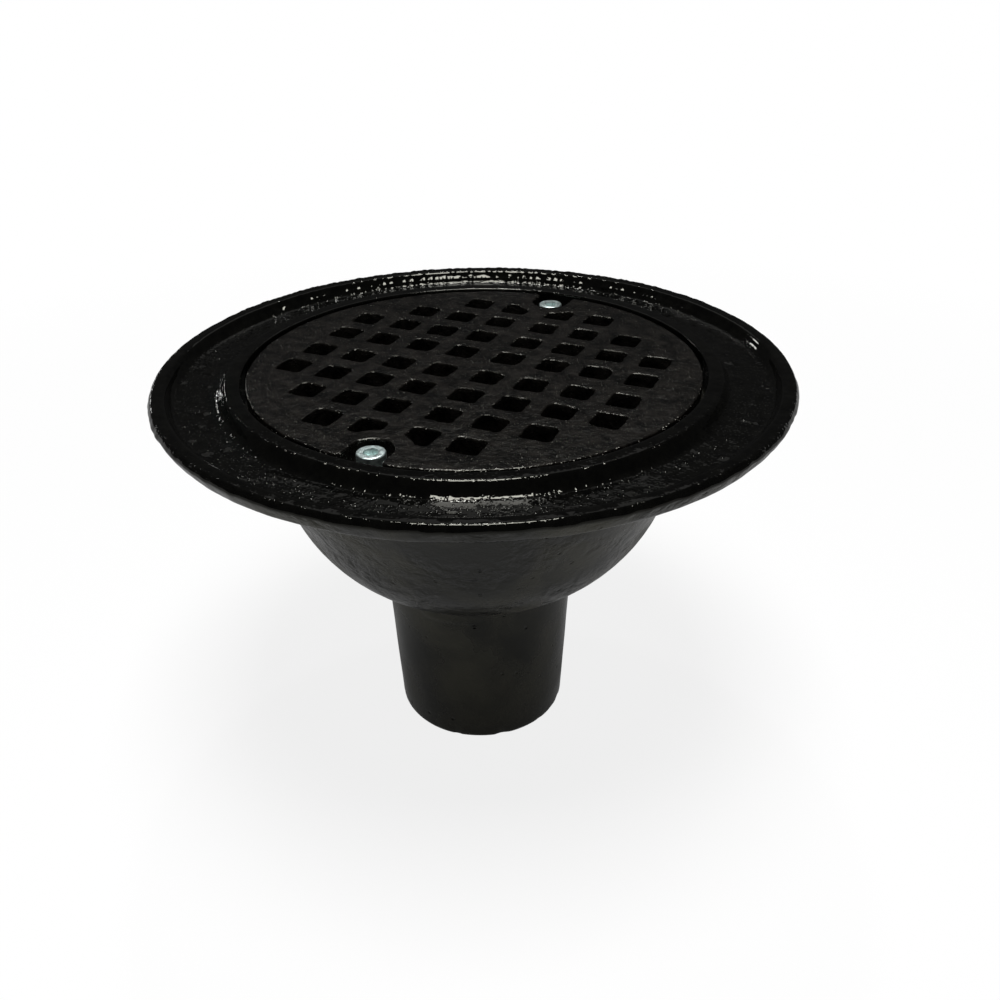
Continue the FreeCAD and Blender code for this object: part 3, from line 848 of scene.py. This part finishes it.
        edge = [(share * size.edge_round, depth * size.edge_round) for share, depth in self.EDGE_ROWS]
        hole_rings = [self.inset(holes, -distance) for distance, _ in edge]
        rim_rings = [self.inset(notched, distance) for distance, _ in edge]
        for index in range(len(holes)):
            hole = holes[index][::-1]
            rings = [at(ring[index][::-1], top - depth) for ring, (_, depth) in zip(hole_rings, edge)]
            rings += [at(hole, top - depth) for depth in self.HOLE_DEPTHS]
            wall(rings + [at(hole, bottom)])
        wall([at(ring, top - depth) for ring, (_, depth) in zip(rim_rings, edge)]
             + [at(notched, top - self.RIM_DEPTH), at(notched, ledge)])
        wall([at(plain, ledge), at(plain, (ledge + bottom) / 2.0), at(plain, bottom)])
        for screw_hole in screw_holes:
            wall([at(screw_hole[::-1], ledge), at(screw_hole[::-1], bottom)])

        flat_face([rim_rings[0], *hole_rings[0]], top, size.spacing, faces_up=True)
        flat_face([plain, *holes, *screw_holes], bottom, self.UNDERSIDE_SPACING, faces_up=False)
        for recess, screw_hole in zip(recesses, screw_holes):
            loop = np.vstack((plain[recess], notched[recess[::-1]][1:-1]))
            flat_face([loop, screw_hole], ledge, self.RECESS_SPACING, faces_up=True)

        grate = make_mesh("strainer_grate_casting", np.vstack(points), faces)
        self.close_seams(grate.data)
        self.roughen(grate.data, size)
        finish = context.scene.drain_finish
        coat = Coat(finish.grate_dark, finish.grate_pale, smooth=0.14, rough=0.24)
        paint = painted_casting(
            "rubbed_bitumen_paint_on_cast_iron", finish, thick_coat=coat, thin_coat=coat,
            level=0.45, grain=1.0 * MM, relief=0.8 * MM, covered=0.4)
        stand_in(grate, "strainer_grate", paint)
        return {"FINISHED"}

    def turned_left(self, flat, triangles):
        """The same triangles, all turned to the left as seen from above."""
        first, second, third = (flat[triangles[:, corner]] for corner in range(3))
        along, across = second - first, third - first
        left = along[:, 0] * across[:, 1] > along[:, 1] * across[:, 0]
        return np.where(left[:, None], triangles, triangles[:, ::-1])

    def close_seams(self, mesh):
        """Join the vertices that neighbouring surfaces share."""
        shape = bmesh.new()
        shape.from_mesh(mesh)
        bmesh.ops.remove_doubles(shape, verts=shape.verts, dist=0.004 * MM)
        open_edges = sum(not edge.is_manifold for edge in shape.edges)
        if open_edges:
            raise RuntimeError(f"the grate has {open_edges} open edges")
        shape.to_mesh(mesh)
        shape.free()

    def roughen(self, mesh, size):
        """Move the vertices along their normals by cast unevenness, less on the underside."""
        count = len(mesh.vertices)
        points, normals = np.empty(count * 3), np.empty(count * 3)
        mesh.vertices.foreach_get("co", points)
        mesh.vertices.foreach_get("normal", normals)
        points, normals = points.reshape(-1, 3), normals.reshape(-1, 3)
        total = size.skin * lattice_noise(points, 11.0 * MM, 71)
        total += 0.6 * size.skin * lattice_noise(points, 4.0 * MM, 72)
        total += 0.6 * size.skin * lattice_noise(points, 1.8 * MM, 73)
        total *= ease(points[:, 2], GRATE_LOW.z + MM, GRATE_HIGH.z - 2.0 * MM)
        mesh.vertices.foreach_set("co", (points + normals * total[:, None]).astype(np.float32).ravel())
        mesh.update()
        high = ease(points[:, 2], GRATE_HIGH.z - 0.7 * MM, GRATE_HIGH.z - 0.3 * MM)
        edge = high * ease(1.0 - normals[:, 2], 0.02, 0.2)
        outer = ease(np.hypot(points[:, 0], points[:, 1]), size.radius - 2.0 * MM, size.radius - MM)
        outer *= glint_side_share(np.arctan2(points[:, 1], points[:, 0]))
        # Past 0.42 the grit also paints highlight dots into the colour: fully along the outer top edge,
        # faintly along the holes' edges
        grit = 0.4 + edge * (0.05 + 0.2 * outer)
        mark(mesh, thick_paint=np.ones(count), wrinkled=np.zeros(count), grit=grit)


class DRAIN_OT_turn_screws(bpy.types.Operator):
    """Turn the two zinc-plated socket screws."""
    bl_idname = "drain.turn_screws"
    bl_label = "Turn screws"

    # Turn of each screw's hexagon, in radians
    SOCKET_TURNS = (0.35, 1.1)

    def execute(self, context):
        size = context.scene.grate_screw_sizes
        top, tip = SCREWS_HIGH.z, SCREWS_LOW.z
        seat = top - size.head_height
        angles = 2.0 * math.pi * np.arange(size.columns) / size.columns
        sector = (angles + math.pi / 6.0) % (math.pi / 3.0) - math.pi / 6.0
        hexagon = size.socket / 2.0 / np.cos(sector)
        ones = np.ones(size.columns)
        bend = np.linspace(0.0, math.pi / 2.0, 6)
        edge = [(size.head - size.head_round * (1.0 - math.cos(turn)),
                 top - size.head_round * (1.0 - math.sin(turn))) for turn in bend]
        rows = [
            (0.02 * size.shank * ones, tip),
            (0.8 * size.shank * ones, tip),
            (size.shank * ones, tip + 0.2 * size.shank),
            (size.shank * ones, seat),
            (size.head * ones, seat),
            *[(radius * ones, height) for radius, height in edge],
            (hexagon + 0.35 * MM, top),
            (hexagon + 0.12 * MM, top - 0.03 * MM),
            (hexagon, top - 0.18 * MM),
            (hexagon, top - size.socket_depth),
            (0.5 * hexagon, top - size.socket_depth - 0.25 * MM),
            (0.02 * hexagon, top - size.socket_depth - 0.5 * MM),
        ]
        radius = np.array([row for row, _ in rows])
        height = np.repeat([level for _, level in rows], size.columns)
        across, along = radius * np.cos(angles), radius * np.sin(angles)
        ring = np.column_stack((across.ravel(), along.ravel(), height))
        index = np.arange(len(ring)).reshape(len(rows), size.columns)
        quads = np.vstack([stitch(lower, upper) for lower, upper in zip(index, index[1:])])
        caps = np.vstack((index[0][::-1], index[-1]))
        circle = context.scene.strainer_grate_sizes.screw_circle
        points, faces, ends = [], [], []
        for side, turn in zip((-1, 1), self.SOCKET_TURNS):
            cosine, sine = math.cos(turn), math.sin(turn)
            spin = np.array([[cosine, -sine], [sine, cosine]])
            points.append(np.column_stack((ring[:, :2] @ spin.T + (0.0, side * circle), ring[:, 2])))
            faces.append(quads + len(ring) * len(ends))
            ends.append(caps + len(ring) * len(ends))
        screws = make_mesh("grate_socket_screws", np.vstack(points), [np.vstack(faces), np.vstack(ends)])
        screws.data.set_sharp_from_angle(angle=math.radians(40.0))
        stand_in(screws, "grate_screws",
                 zinc_plated_steel("bright_zinc_plated_steel", context.scene.drain_finish.zinc))
        return {"FINISHED"}


class DRAIN_OT_set_stage(bpy.types.Operator):
    """Set the white floor, the studio lamps and the camera."""
    bl_idname = "drain.set_stage"
    bl_label = "Set stage"

    # Lamps: name, place, side lengths in metres, power in watts
    LAMPS = (
        ("overhead_lamp", (0.06, -0.12, 1.15), (0.45, 0.55), 14.0),
        ("rear_lamp", (-0.30, 0.54, 1.13), (0.07, 0.07), 1.4),
        ("left_lamp", (-1.06, 0.56, 0.41), (0.10, 0.12), 0.4),
        ("rear_panel", (-0.37, 0.76, 0.98), (0.75, 0.50), 0.28),
    )
    AIM = Vector((0.0, 0.0, 0.11))

    def floor(self, stage, code):
        """A flat disc: rings of growing radius about the origin."""
        columns, radii = 96, np.array([0.02, 0.2, 0.6, 2.0, stage.floor_radius])
        angles = 2.0 * math.pi * np.arange(columns) / columns
        ring = np.column_stack((np.cos(angles), np.sin(angles), np.zeros(columns)))
        points = np.vstack([ring * radius for radius in radii])
        index = np.arange(len(points)).reshape(len(radii), columns)
        quads = np.vstack([stitch(outer, inner) for outer, inner in zip(index[1:], index)])
        floor = make_mesh("white_floor", points, [quads, index[:1]])
        floor.data.materials.append(white_sweep("white_paper_sweep", code))

    def room(self, stage):
        """A dim room that is seen as white past the floor's edge, as the floor is."""
        world = bpy.data.worlds.new("dim_room")
        world.use_nodes = True
        tree = world.node_tree
        _, seen = plain_sight(tree)
        level = add_node(tree, "ShaderNodeMapRange", {"Value": seen, "To Min": stage.world_grey})
        tree.links.new(level.outputs["Result"], tree.nodes["Background"].inputs["Color"])
        return world

    def execute(self, context):
        scene = context.scene
        stage = scene.drain_stage
        self.floor(stage, scene.drain_finish.floor)
        scene.world = self.room(stage)
        for name, place, sides, power in self.LAMPS:
            lamp = bpy.data.lights.new(name, "AREA")
            lamp.shape = "RECTANGLE"
            lamp.size, lamp.size_y = sides
            lamp.energy = power
            holder = bpy.data.objects.new(name, lamp)
            facing = (self.AIM - Vector(place)).to_track_quat("-Z", "Y")
            holder.matrix_world = Matrix.Translation(place) @ facing.to_matrix().to_4x4()
            scene.collection.objects.link(holder)

        camera = bpy.data.cameras.new("photo_camera")
        camera.sensor_width = 36.0
        camera.lens = stage.lens
        camera.clip_start = 0.01
        right, up = Vector(stage.camera_right).normalized(), Vector(stage.camera_up).normalized()
        turn = Matrix((right, up, right.cross(up))).transposed().to_4x4()
        viewer = bpy.data.objects.new("photo_camera", camera)
        viewer.matrix_world = Matrix.Translation(stage.camera_place) @ turn
        scene.collection.objects.link(viewer)
        scene.camera = viewer
        scene.view_settings.view_transform = "Standard"
        return {"FINISHED"}


PIECES = (DRAIN_OT_cast_body, DRAIN_OT_cast_grate, DRAIN_OT_turn_screws, DRAIN_OT_set_stage)


class DRAIN_PT_sidebar(bpy.types.Panel):
    """Lists the pieces of the drain and their sizes and colours."""
    bl_label = "Scupper drain"
    bl_idname = "DRAIN_PT_sidebar"
    bl_space_type = "VIEW_3D"
    bl_region_type = "UI"
    bl_category = "Drain"

    def draw(self, context):
        for piece in PIECES:
            self.layout.operator(piece.bl_idname)
        for name, group in GROUPS.items():
            box = self.layout.box()
            for key in group.__annotations__:
                box.prop(getattr(context.scene, name), key)


CLASSES = (*GROUPS.values(), *PIECES, DRAIN_PT_sidebar)


def register():
    """Add the operators, the panel and the scene's properties."""
    for item in CLASSES:
        bpy.utils.register_class(item)
    for name, group in GROUPS.items():
        setattr(bpy.types.Scene, name, PointerProperty(type=group))


def unregister():
    """Take away what register added."""
    for name in GROUPS:
        delattr(bpy.types.Scene, name)
    for item in reversed(CLASSES):
        bpy.utils.unregister_class(item)


def main():
    """Build the drain on its stage."""
    register()
    bpy.ops.drain.cast_body()
    bpy.ops.drain.cast_grate()
    bpy.ops.drain.turn_screws()
    bpy.ops.drain.set_stage()


if __name__ == "__main__":
    main()
